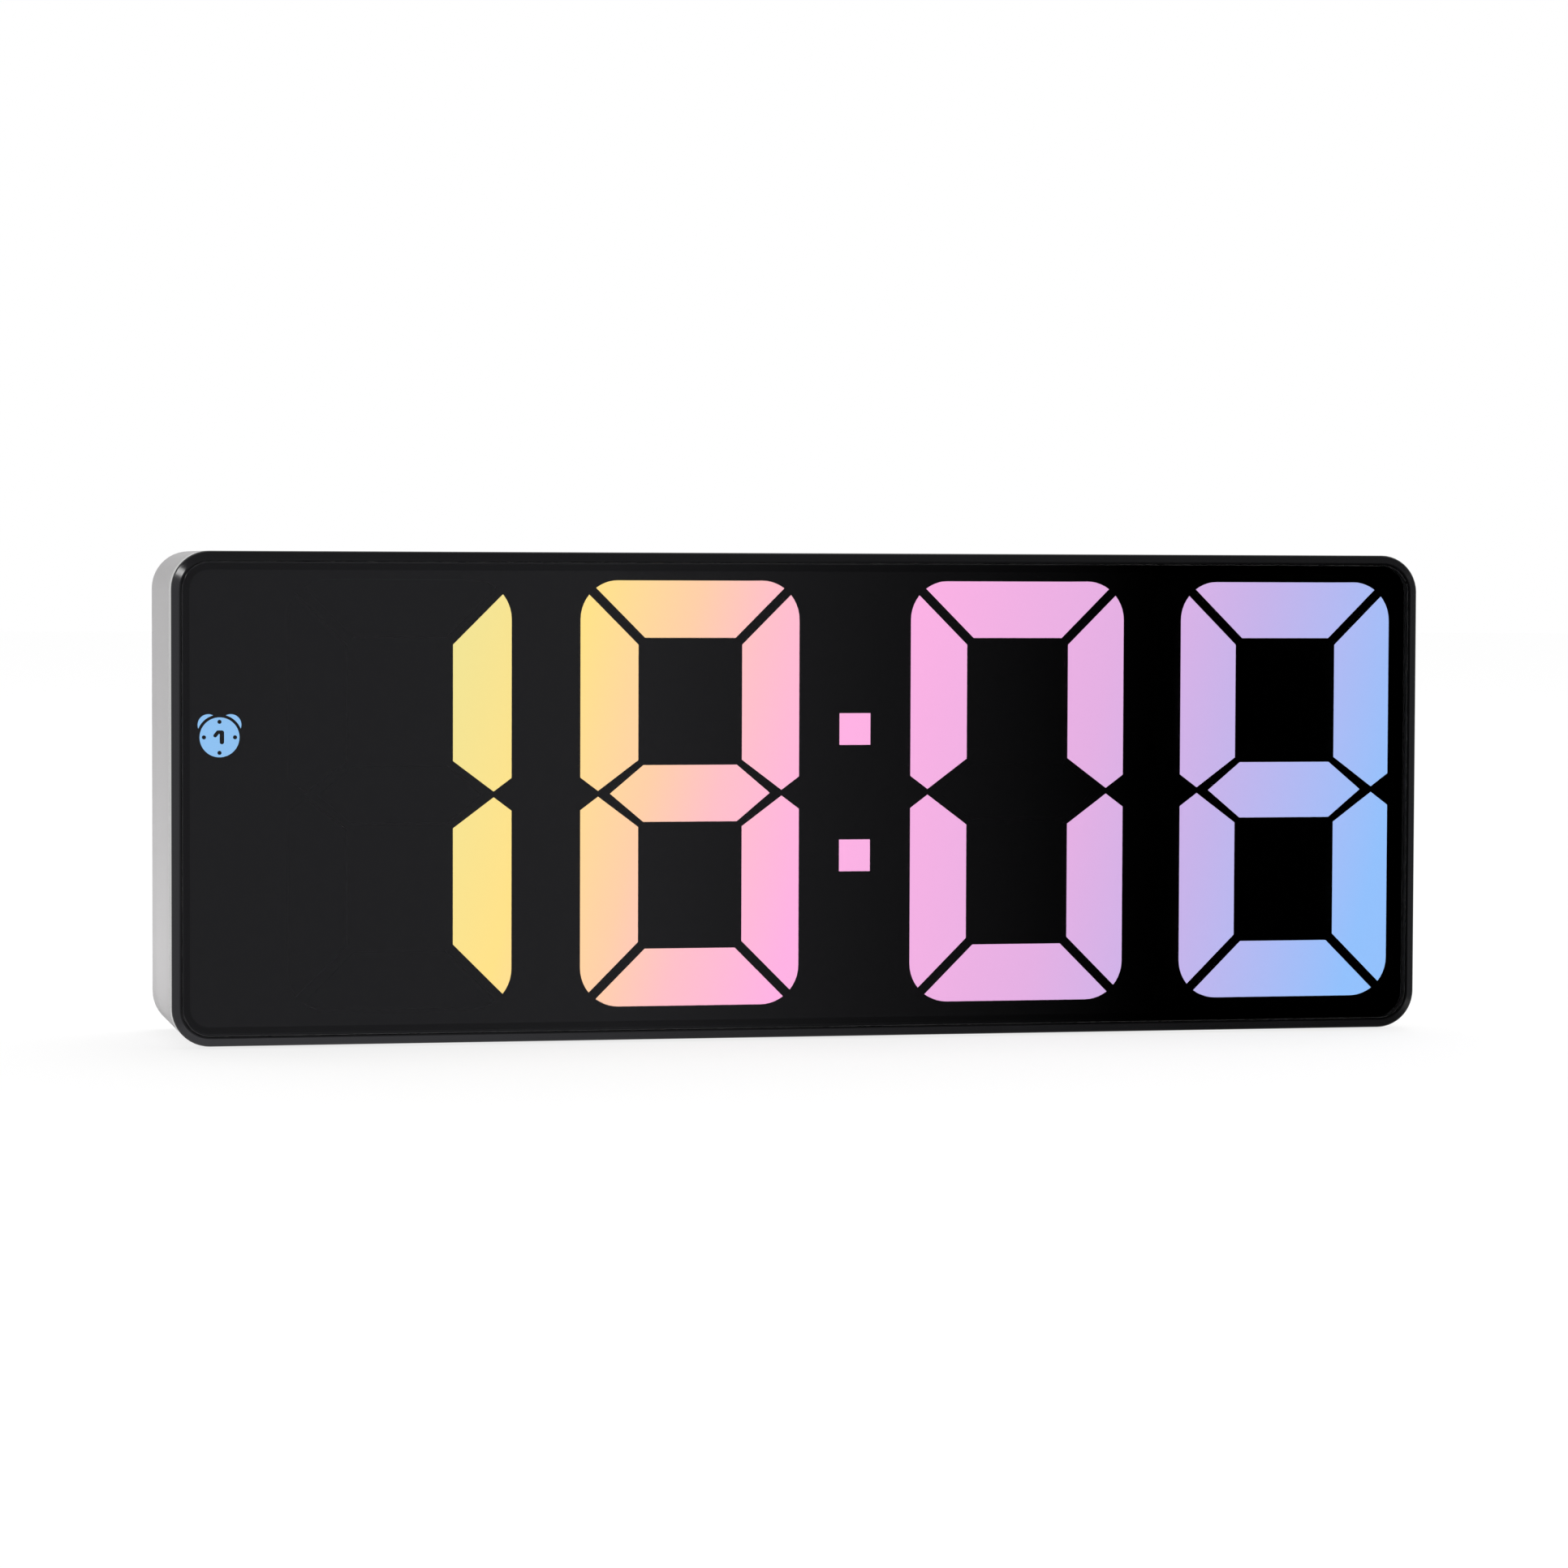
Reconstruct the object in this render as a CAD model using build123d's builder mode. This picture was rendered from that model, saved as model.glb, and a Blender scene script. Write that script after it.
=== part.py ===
from build123d import *
import os
from math import cos, pi, sin, sqrt

# A desk clock with four seven-bar digits behind a black front. Millimetres, X to the right as
# the digits are read, front towards -Y, Z up; the origin is on the table under the middle.

os.makedirs("parts", exist_ok=True)

# Outside of the clock
panel_width = 163.0
panel_height = 62.0
panel_corner = 4.8
clock_depth = 30.0
foot_proud = 0.3

# Clearances, and how far a cut runs past the face it opens
slip = 0.15
close_fit = 0.05
overrun = 1.0

# Front frame, lens and the stack behind the lens
rim_width = 1.2
rim_drop = 0.05
rim_slope = 1.0
rim_fall = 0.42
rim_round = 0.25
lens_fit = 0.06
lens_thickness = 1.6
lens_edge = 0.15
tape_width = 0.8
tape_thickness = 0.05
mask_thickness = 0.1
flange_fit = 0.3
flange_thickness = 0.8
ledge_thickness = 0.8
diffuser_thickness = 1.1
block_depth = 9.0
body_fit = 0.2

# Seven-bar digits
digit_corner = 5.0
side_bar = 7.5
level_bar = 7.35
bar_gap = 1.2
waist_gap = 0.7
waist_inset = 2.3
waist_slope_share = 0.75
middle_bar = 7.25
middle_inset = 3.82
middle_slope_share = 0.84
left_margin = 14.55
right_margin = 3.55
top_margin = 3.5
bottom_margin = 4.2
minute_gap = 7.7
colon_space = 14.65
hour_gap = 8.8
colon_size = 4.1
colon_spread = 16.25

# Alarm pictogram
icon_inset = 6.08
icon_rise = 7.7
icon_radius = 2.5
icon_gap = 0.36
bell_radius = 1.34
bell_across = 1.4
bell_up = 1.56
mark_radius = 0.27
mark_circle = 1.94
mark_depth = 0.4
mark_fit = 0.02
numeral_height = 1.76
numeral_stem = 0.58
numeral_right = 0.3
flag_bend = 0.5
flag_across = 0.84
flag_drop = 0.42
flag_width = 0.48
icon_cell_radius = 3.3
icon_cell_rise = 0.5

# Display board and what it carries
board_thickness = 1.6
led_length = 2.0
led_width = 1.25
led_height = 0.8
led_spread = 7.0
chip_length = 18.0
chip_width = 7.5
chip_height = 2.2
chip_leg_pitch = 1.27
chip_leg_width = 0.45
chip_leg_reach = 1.4
chip_leg_height = 0.5
chip_leg_count = 14
chip_left = 30.0
chip_drop = 5.0
crystal_radius = 1.5
crystal_length = 8.0
crystal_left = 8.0
capacitor_radius = 3.15
capacitor_height = 7.5
capacitor_right = 28.0
capacitor_drop = 14.0
resistor_gap = 2.75
resistor_count = 8
resistor_height = 0.6
resistor_left = 10.0
resistor_drop = 18.0

# Rear housing
housing_wall = 2.3
back_wall = 2.0
housing_front_round = 0.3
housing_back_round = 2.0

# Screws
housing_screw_radius = 1.25
housing_screw_head = 2.3
housing_screw_head_height = 1.8
housing_screw_bite = 6.0
housing_screw_land = 4.15
housing_screw_gap = 3.0
housing_screw_margin = 7.7
board_screw_radius = 1.0
board_screw_head = 1.9
board_screw_head_height = 1.3
board_screw_bite = 4.5
board_screw_margin = 7.0
hole_fit = 0.2
well_fit = 0.3
post_wall = 0.9
pilot_spare = 0.6
drive_width = 0.6
drive_depth = 0.7
drive_reach_share = 0.6

# Battery bay for three small round cells side by side
cell_length = 44.5
cell_diameter = 10.5
cell_slack = 0.6
cell_count = 3
bay_spare = 7.2
bay_floor = 1.2
bay_shelf = 1.9
bay_wall = 2.5
bay_left = 18.0
bay_bottom_gap = 1.65

# Battery door
door_thickness = 1.7
hinge_pin_radius = 0.6
hinge_pin_length = 1.5
tongue_width = 12.0
tongue_length = 8.0
tongue_slot = 0.8
thumb_depth = 0.6
thumb_margin = 1.2
thumb_height = 6.0
grip_count = 3
grip_width = 0.7
grip_gap = 1.0
grip_height = 0.4
nib_width = 8.0
nib_height = 0.1
nib_depth = 0.6
notch_radius = 4.0
notch_depth = 1.0

# Battery contacts and springs
plate_thickness = 0.4
plate_width = 8.6
plate_height = 8.6
nub_radius = 2.0
nub_height = 0.6
tail_width = 2.0
tail_slot_fit = 0.2
spring_wire = 0.5
spring_base_radius = 3.2
spring_tip_radius = 2.2
spring_length = 5.2
spring_turns = 4

# Buttons, their switches and the board they stand on
button_count = 5
button_gap = 1.4
button_row_rise = 6.0
button_width = 7.0
button_height = 5.2
button_corner = 1.2
button_edge = 0.4
button_fit = 0.15
button_sink = 0.1
button_flange = 0.7
button_flange_thickness = 0.75
button_stem_radius = 1.5
button_stem_length = 1.0
button_strip_margin = 2.6
button_strip_height = 8.4
button_strip_corner = 2.0
button_strip_depth = 0.8
switch_size = 6.0
switch_height = 3.4
plunger_radius = 1.6
plunger_proud = 1.0
plunger_depth = 1.4
plunger_spare = 0.7
key_board_height = 23.6
key_board_edge = 0.7
key_board_thickness = 1.2
key_board_corner = 1.0
key_post_radius = 2.25
key_post_across = 21.5
key_post_drop = 0.6
key_post_low = 9.2
key_screw_radius = 0.9
key_screw_head = 1.7
key_screw_head_height = 1.2
key_screw_bite = 4.5
header_length = 20.3
header_width = 2.5
header_rise = 2.0

# Power inlet
usb_left = 13.0
usb_drop = 5.6
usb_width = 8.94
usb_height = 3.26
usb_wall = 0.3
usb_base = 1.2
usb_sink = 0.4
usb_opening_fit = 0.35
usb_tongue_width = 6.7
usb_tongue_height = 0.7
usb_tongue_sink = 0.8

# Alarm sounder
buzzer_radius = 6.0
buzzer_height = 5.5
buzzer_bore_radius = 1.2
buzzer_bore_depth = 1.5
buzzer_edge = 0.4
buzzer_right = 13.0
buzzer_drop = 5.4
sound_hole_radius = 0.7
sound_hole_ring = 3.0
sound_hole_count = 6

# Feet
foot_radius = 3.0
foot_recess = 0.5
foot_edge = 0.25
foot_margin = 19.5
foot_front = 6.0
foot_rear = 9.0

# Places along the depth, from the front to the back
front_y = -clock_depth / 2
back_y = clock_depth / 2
panel_z = foot_proud + panel_height / 2
rim_front_y = front_y + rim_drop
lens_back_y = front_y + lens_thickness
mask_front_y = lens_back_y + tape_thickness
block_front_y = mask_front_y + mask_thickness
ledge_front_y = block_front_y + flange_thickness
frame_back_y = ledge_front_y + ledge_thickness
board_front_y = block_front_y + block_depth
board_rear_y = board_front_y + board_thickness
wall_inner_y = back_y - back_wall
door_floor_y = back_y - door_thickness - slip
bay_depth = cell_diameter + cell_slack
bay_floor_y = door_floor_y - bay_depth
bay_front_y = bay_floor_y - bay_floor
button_face_y = back_y - button_sink
button_flange_y = wall_inner_y - close_fit - button_flange_thickness
plunger_top_y = button_flange_y - button_stem_length
switch_top_y = plunger_top_y - plunger_proud
key_board_rear_y = switch_top_y - switch_height
key_board_front_y = key_board_rear_y - key_board_thickness
screw_seat_y = board_rear_y + housing_screw_land

# Outlines of the nested front pieces
pocket_width = panel_width - 2 * rim_width
pocket_height = panel_height - 2 * rim_width
pocket_corner = panel_corner - rim_width
flange_width = pocket_width - 2 * flange_fit
flange_height = pocket_height - 2 * flange_fit
flange_corner = pocket_corner - flange_fit
cavity_width = panel_width - 2 * housing_wall
cavity_height = panel_height - 2 * housing_wall
cavity_corner = panel_corner - housing_wall
body_width = cavity_width - 2 * body_fit
body_height = cavity_height - 2 * body_fit
body_corner = cavity_corner - body_fit

# Where the digits stand on the panel
digit_spaces = left_margin + hour_gap + colon_space + minute_gap + right_margin
digit_width = (panel_width - digit_spaces) / 4
digit_height = panel_height - top_margin - bottom_margin
digit_rise = (bottom_margin - top_margin) / 2
half_digit = digit_width / 2
half_tall = digit_height / 2
minute_units_x = panel_width / 2 - right_margin - half_digit
minute_tens_x = minute_units_x - digit_width - minute_gap
hour_units_x = minute_tens_x - digit_width - colon_space
hour_tens_x = hour_units_x - digit_width - hour_gap
digit_centres = (hour_tens_x, hour_units_x, minute_tens_x, minute_units_x)
colon_x = (hour_units_x + minute_tens_x) / 2
icon_x = icon_inset - panel_width / 2
colon_points = [(colon_x, digit_rise + side * colon_spread / 2) for side in (1, -1)]

# The bars of a digit that reads 18:08, and the rest of the bars
all_bars = ("abcdefg", "abcdefg", "abcdefg", "abcdefg")
lit_bars = ("bc", "abcdefg", "abcdef", "abcdefg")
dark_bars = ("adefg", "", "g", "")

# Screw places: beside the digits, where no light cell is
first_gap_x = (hour_tens_x + hour_units_x) / 2
last_gap_x = (minute_tens_x + minute_units_x) / 2
first_screw_x = hour_tens_x - half_digit - housing_screw_gap
housing_screw_rise = cavity_height / 2 - housing_screw_margin
board_screw_rise = body_height / 2 - board_screw_margin
housing_screw_points = [
    (x, side * housing_screw_rise) for x in (first_screw_x, last_gap_x) for side in (1, -1)
]
board_screw_points = [
    (x, side * board_screw_rise) for x in (first_gap_x, colon_x) for side in (1, -1)
]

# Battery bay and door sizes
bay_x = -bay_left
bay_length = cell_length + bay_spare
bay_height = cell_count * (cell_diameter + cell_slack)
recess_length = bay_length + 2 * bay_shelf
recess_height = bay_height + 2 * bay_shelf
bay_block_length = recess_length + 2 * bay_wall
bay_block_height = recess_height + 2 * bay_wall
bay_z = bay_bottom_gap + bay_block_height / 2 - cavity_height / 2
door_length = recess_length - 2 * slip
hinge_y = back_y - door_thickness / 2
hinge_z = bay_z - recess_height / 2 + slip + door_thickness / 2
door_top_z = bay_z + recess_height / 2 - slip
cell_rows = [bay_z + row * (cell_diameter + cell_slack) for row in (1, 0, -1)]
cell_y = bay_floor_y + bay_depth / 2
bay_left_x = bay_x - bay_length / 2
bay_right_x = bay_x + bay_length / 2

# Buttons in a row, with the inlet and the sounder below them on one board
key_board_x = last_gap_x
button_names = ("mode", "set", "up", "down", "alarm")
button_pitch = button_width + 2 * button_flange + button_gap
button_row_length = (button_count - 1) * button_pitch + button_width
button_points = [
    (key_board_x + (place - (button_count - 1) / 2) * button_pitch, button_row_rise)
    for place in range(button_count)
]
strip_length = button_row_length + 2 * button_strip_margin
key_board_length = button_row_length + 2 * button_flange + 2 * key_board_edge
key_post_points = [
    (key_board_x - key_post_across, -key_post_drop),
    (key_board_x + key_post_across, -key_post_drop),
    (key_board_x, -key_post_low),
]
inlet_point = (key_board_x - usb_left, -usb_drop)
buzzer_points = [(key_board_x + buzzer_right, -buzzer_drop)]
foot_across = panel_width / 2 - foot_margin


def face_plane(y):
    """Plane parallel to the front at depth y, x to the right and y upwards from the panel's middle."""
    return Plane(origin=(0, y, panel_z), x_dir=(1, 0, 0), z_dir=(0, -1, 0))


def rounded_face(width, height, corner, y, place=(0, 0)):
    """Rounded rectangle at depth y."""
    with BuildSketch(face_plane(y)) as outline:
        with Locations(place):
            RectangleRounded(width, height, corner)
    return outline.sketch


def plain_face(width, height, y, points):
    """Equal rectangles at depth y, one on each point."""
    with BuildSketch(face_plane(y)) as outline:
        with Locations(*points):
            Rectangle(width, height)
    return outline.sketch


def disc_face(radius, y, points):
    """Equal discs at depth y, one on each point."""
    with BuildSketch(face_plane(y)) as outline:
        with Locations(*points):
            Circle(radius)
    return outline.sketch


def flipped(points, across, upward):
    """The same points with the sign of x and of the height changed where asked."""
    return [(across * x, upward * z) for x, z in points]


# Corner points of the bars, from the middle of a digit
side_x = half_digit - side_bar
level_z = half_tall - level_bar
corner_slot = bar_gap / sqrt(2)
tip_z = waist_gap / 2
middle_tip = half_digit - middle_inset
middle_flat = middle_tip - middle_bar / 2 / middle_slope_share
top_points = [
    (side_x - corner_slot, level_z),
    (side_x - corner_slot + level_bar, half_tall),
    (corner_slot - side_x - level_bar, half_tall),
    (corner_slot - side_x, level_z),
]
side_points = [
    (side_x, level_z - corner_slot),
    (half_digit, level_z - corner_slot + side_bar),
    (half_digit, tip_z + waist_inset * waist_slope_share),
    (half_digit - waist_inset, tip_z),
    (side_x, tip_z + (side_bar - waist_inset) * waist_slope_share),
]
middle_points = [
    (middle_tip, 0),
    (middle_flat, middle_bar / 2),
    (-middle_flat, middle_bar / 2),
    (-middle_tip, 0),
    (-middle_flat, -middle_bar / 2),
    (middle_flat, -middle_bar / 2),
]
bar_points = {
    "a": top_points,
    "b": side_points,
    "c": flipped(side_points, 1, -1),
    "d": flipped(top_points, 1, -1),
    "e": flipped(side_points, -1, -1),
    "f": flipped(side_points, -1, 1),
    "g": middle_points,
}


def bar_face(letter, shrink):
    """One bar of a digit, drawn about the digit's middle and drawn in by shrink."""
    with BuildSketch() as bar:
        with BuildLine():
            Polyline(*bar_points[letter], close=True)
        make_face()
        RectangleRounded(digit_width, digit_height, digit_corner, mode=Mode.INTERSECT)
        if shrink > 0:
            offset(amount=-shrink)
    return bar.sketch


window_bars = {letter: bar_face(letter, 0) for letter in bar_points}
diffuser_bars = {letter: bar_face(letter, close_fit) for letter in bar_points}


def digit_faces(y, bars, chosen):
    """The chosen bars of all four digits at depth y."""
    with BuildSketch(face_plane(y)) as digits:
        for centre, letters in zip(digit_centres, chosen):
            for letter in letters:
                with Locations((centre, digit_rise)):
                    add(bars[letter])
    return digits.sketch


def icon_faces(y, shrink):
    """Face and two bells of the alarm pictogram at depth y, drawn in by shrink."""
    with BuildSketch(face_plane(y)) as icon:
        with Locations((icon_x - bell_across, icon_rise + bell_up), (icon_x + bell_across, icon_rise + bell_up)):
            Circle(bell_radius - shrink)
        with Locations((icon_x, icon_rise)):
            Circle(icon_radius + icon_gap + shrink, mode=Mode.SUBTRACT)
            Circle(icon_radius - shrink)
    return icon.sketch


def icon_mark_faces(y, shrink):
    """Four hour dots and the numeral of the pictogram at depth y, drawn in by shrink."""
    stem_x = icon_x + numeral_right
    flag_top = icon_rise + numeral_height / 2 - flag_width / 2
    with BuildSketch(face_plane(y)) as marks:
        with Locations((icon_x, icon_rise)):
            with PolarLocations(mark_circle, 4):
                Circle(mark_radius - shrink)
        with Locations((stem_x, icon_rise)):
            SlotOverall(numeral_height - 2 * shrink, numeral_stem - 2 * shrink, rotation=90)
        flag_points = [
            (stem_x, flag_top),
            (stem_x - flag_bend, flag_top),
            (stem_x - flag_across, flag_top - flag_drop),
        ]
        for (start_x, start_z), (end_x, end_z) in zip(flag_points, flag_points[1:]):
            SlotCenterPoint(
                ((start_x + end_x) / 2, (start_z + end_z) / 2),
                (end_x, end_z),
                flag_width - 2 * shrink,
            )
    return marks.sketch


def add_screws(points, seat_y, forward, shank_radius, shank_length, head_radius, head_height):
    """Screws seated at depth seat_y, pointing to the front with forward 1 and to the back with -1."""
    extrude(disc_face(shank_radius, seat_y, points), amount=forward * shank_length)
    extrude(disc_face(head_radius, seat_y, points), amount=-forward * head_height)
    top_y = seat_y + forward * head_height
    reach = 2 * head_radius * drive_reach_share
    for width, height in ((reach, drive_width), (drive_width, reach)):
        cross = plain_face(width, height, top_y, points)
        extrude(cross, amount=forward * drive_depth, mode=Mode.SUBTRACT)


def hand_in(piece, name):
    """Label the finished piece and write it."""
    piece.part.label = name
    export_step(piece.part, f"parts/{name}.step")


# Black front frame: a rim round the lens and a ledge behind it
with BuildPart() as front_frame:
    extrude(
        rounded_face(panel_width, panel_height, panel_corner, frame_back_y),
        amount=frame_back_y - rim_front_y,
    )
    rim_face = front_frame.faces().sort_by(Axis.Y)[0]
    chamfer(rim_face.edges(), rim_slope, rim_fall, reference=rim_face)
    inner_loop, _, outer_loop = front_frame.edges().group_by(Axis.Y)[:3]
    fillet(inner_loop + outer_loop, rim_round)
    extrude(
        rounded_face(pocket_width, pocket_height, pocket_corner, ledge_front_y),
        amount=ledge_front_y - front_y + overrun,
        mode=Mode.SUBTRACT,
    )
    extrude(
        rounded_face(body_width + 2 * slip, body_height + 2 * slip, body_corner + slip, frame_back_y + overrun),
        amount=frame_back_y - front_y + 2 * overrun,
        mode=Mode.SUBTRACT,
    )
hand_in(front_frame, "front_frame")

# Smoked lens over the whole display
with BuildPart() as front_lens:
    extrude(
        rounded_face(
            pocket_width - 2 * lens_fit, pocket_height - 2 * lens_fit, pocket_corner - lens_fit, lens_back_y
        ),
        amount=lens_thickness,
    )
    fillet(front_lens.edges().group_by(Axis.Y)[0], lens_edge)
hand_in(front_lens, "front_lens")

# Double-sided film that holds the lens on the mask
with BuildPart() as lens_tape:
    tape_inner_width = body_width + 2 * slip
    tape_inner_height = body_height + 2 * slip
    tape_inner_corner = body_corner + slip
    extrude(
        rounded_face(
            tape_inner_width + 2 * tape_width,
            tape_inner_height + 2 * tape_width,
            tape_inner_corner + tape_width,
            mask_front_y,
        ),
        amount=tape_thickness,
    )
    extrude(
        rounded_face(tape_inner_width, tape_inner_height, tape_inner_corner, mask_front_y),
        amount=tape_thickness,
        mode=Mode.SUBTRACT,
    )
hand_in(lens_tape, "lens_tape")

# Black mask with a window for each bar, both colon dots and the pictogram
with BuildPart() as display_mask:
    extrude(rounded_face(flange_width, flange_height, flange_corner, block_front_y), amount=mask_thickness)
    extrude(digit_faces(block_front_y, window_bars, all_bars), amount=mask_thickness, mode=Mode.SUBTRACT)
    extrude(
        plain_face(colon_size, colon_size, block_front_y, colon_points),
        amount=mask_thickness,
        mode=Mode.SUBTRACT,
    )
    extrude(icon_faces(block_front_y, 0), amount=mask_thickness, mode=Mode.SUBTRACT)
hand_in(display_mask, "display_mask")

# Light windows of the bars, flush with the mask
diffuser_back_y = mask_front_y + diffuser_thickness
with BuildPart() as lit_bar_diffusers:
    extrude(digit_faces(diffuser_back_y, diffuser_bars, lit_bars), amount=diffuser_thickness)
hand_in(lit_bar_diffusers, "lit_bar_diffusers")

with BuildPart() as dark_bar_diffusers:
    extrude(digit_faces(diffuser_back_y, diffuser_bars, dark_bars), amount=diffuser_thickness)
hand_in(dark_bar_diffusers, "dark_bar_diffusers")

with BuildPart() as colon_diffusers:
    colon_side = colon_size - 2 * close_fit
    extrude(plain_face(colon_side, colon_side, diffuser_back_y, colon_points), amount=diffuser_thickness)
hand_in(colon_diffusers, "colon_diffusers")

# Pictogram window: a disc behind the mask with the raised pictogram on it
icon_cell_points = [(icon_x, icon_rise + icon_cell_rise)]
with BuildPart() as alarm_icon_diffuser:
    extrude(
        disc_face(icon_cell_radius - close_fit, diffuser_back_y, icon_cell_points),
        amount=diffuser_back_y - block_front_y,
    )
    extrude(icon_faces(block_front_y, close_fit), amount=mask_thickness)
    extrude(icon_mark_faces(mask_front_y, 0), amount=-mark_depth, mode=Mode.SUBTRACT)
hand_in(alarm_icon_diffuser, "alarm_icon_diffuser")

with BuildPart() as alarm_icon_marks:
    extrude(icon_mark_faces(mask_front_y, mark_fit), amount=-mark_depth)
hand_in(alarm_icon_marks, "alarm_icon_marks")

# White reflector block: one light cell for each window, and the bosses that take the screws
with BuildPart() as reflector_block:
    extrude(rounded_face(body_width, body_height, body_corner, board_front_y), amount=block_depth)
    extrude(
        rounded_face(flange_width, flange_height, flange_corner, ledge_front_y),
        amount=flange_thickness,
    )
    extrude(digit_faces(board_front_y, window_bars, all_bars), amount=block_depth, mode=Mode.SUBTRACT)
    extrude(
        plain_face(colon_size, colon_size, board_front_y, colon_points),
        amount=block_depth,
        mode=Mode.SUBTRACT,
    )
    extrude(
        disc_face(icon_cell_radius, board_front_y, icon_cell_points),
        amount=block_depth,
        mode=Mode.SUBTRACT,
    )
    extrude(
        disc_face(housing_screw_radius + close_fit, board_front_y, housing_screw_points),
        amount=housing_screw_bite + pilot_spare,
        mode=Mode.SUBTRACT,
    )
    extrude(
        disc_face(board_screw_radius + close_fit, board_front_y, board_screw_points),
        amount=board_screw_bite + pilot_spare,
        mode=Mode.SUBTRACT,
    )
hand_in(reflector_block, "reflector_block")

# Display board behind the reflector
with BuildPart() as display_board:
    extrude(
        rounded_face(body_width - 2 * slip, body_height - 2 * slip, body_corner - slip, board_rear_y),
        amount=board_thickness,
    )
    for points, radius in (
        (housing_screw_points, housing_screw_radius),
        (board_screw_points, board_screw_radius),
    ):
        extrude(
            disc_face(radius + hole_fit, board_rear_y, points),
            amount=board_thickness,
            mode=Mode.SUBTRACT,
        )
hand_in(display_board, "display_board")

# Two lamps to a bar, one to each colon dot and one to the pictogram
with BuildPart() as bar_leds:
    for digit_x in digit_centres:
        for letter, bar in window_bars.items():
            middle = bar.faces()[0].center()
            level = letter in "adg"
            for side in (1, -1):
                shift = side * led_spread / 2
                led_x = digit_x + middle.X + (shift if level else 0)
                led_z = digit_rise + middle.Y + (0 if level else shift)
                extrude(
                    plain_face(led_length, led_width, board_front_y, [(led_x, led_z)]),
                    amount=led_height,
                )
    for led_point in colon_points + icon_cell_points:
        extrude(plain_face(led_length, led_width, board_front_y, [led_point]), amount=led_height)
hand_in(bar_leds, "bar_leds")

# Controller chip with its two rows of legs
with BuildPart() as controller_chip:
    extrude(plain_face(chip_length, chip_width, board_rear_y, [(-chip_left, -chip_drop)]), amount=-chip_height)
    with BuildSketch(face_plane(board_rear_y)) as chip_legs:
        with Locations((-chip_left, -chip_drop)):
            with GridLocations(chip_leg_pitch, chip_width + chip_leg_reach, chip_leg_count, 2):
                Rectangle(chip_leg_width, chip_leg_reach)
    extrude(chip_legs.sketch, amount=-chip_leg_height)
hand_in(controller_chip, "controller_chip")

# Clock crystal lying on the board
with BuildPart() as clock_crystal:
    crystal_plane = Plane(
        origin=(-crystal_left, board_rear_y + crystal_radius, panel_z - chip_drop),
        x_dir=(0, 1, 0),
        z_dir=(1, 0, 0),
    )
    with BuildSketch(crystal_plane):
        Circle(crystal_radius)
    extrude(amount=crystal_length / 2, both=True)
hand_in(clock_crystal, "clock_crystal")

with BuildPart() as smoothing_capacitor:
    extrude(
        disc_face(capacitor_radius, board_rear_y, [(capacitor_right, -capacitor_drop)]),
        amount=-capacitor_height,
    )
hand_in(smoothing_capacitor, "smoothing_capacitor")

with BuildPart() as chip_resistors:
    with BuildSketch(face_plane(board_rear_y)) as resistor_faces:
        with Locations((-resistor_left, -resistor_drop)):
            with GridLocations(led_width + resistor_gap, led_length, resistor_count, 1):
                Rectangle(led_width, led_length)
    extrude(resistor_faces.sketch, amount=-resistor_height)
hand_in(chip_resistors, "chip_resistors")

# Short screws that hold the display board to the reflector
with BuildPart() as board_screws:
    add_screws(
        board_screw_points,
        board_rear_y,
        1,
        board_screw_radius,
        board_thickness + board_screw_bite,
        board_screw_head,
        board_screw_head_height,
    )
hand_in(board_screws, "board_screws")

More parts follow.
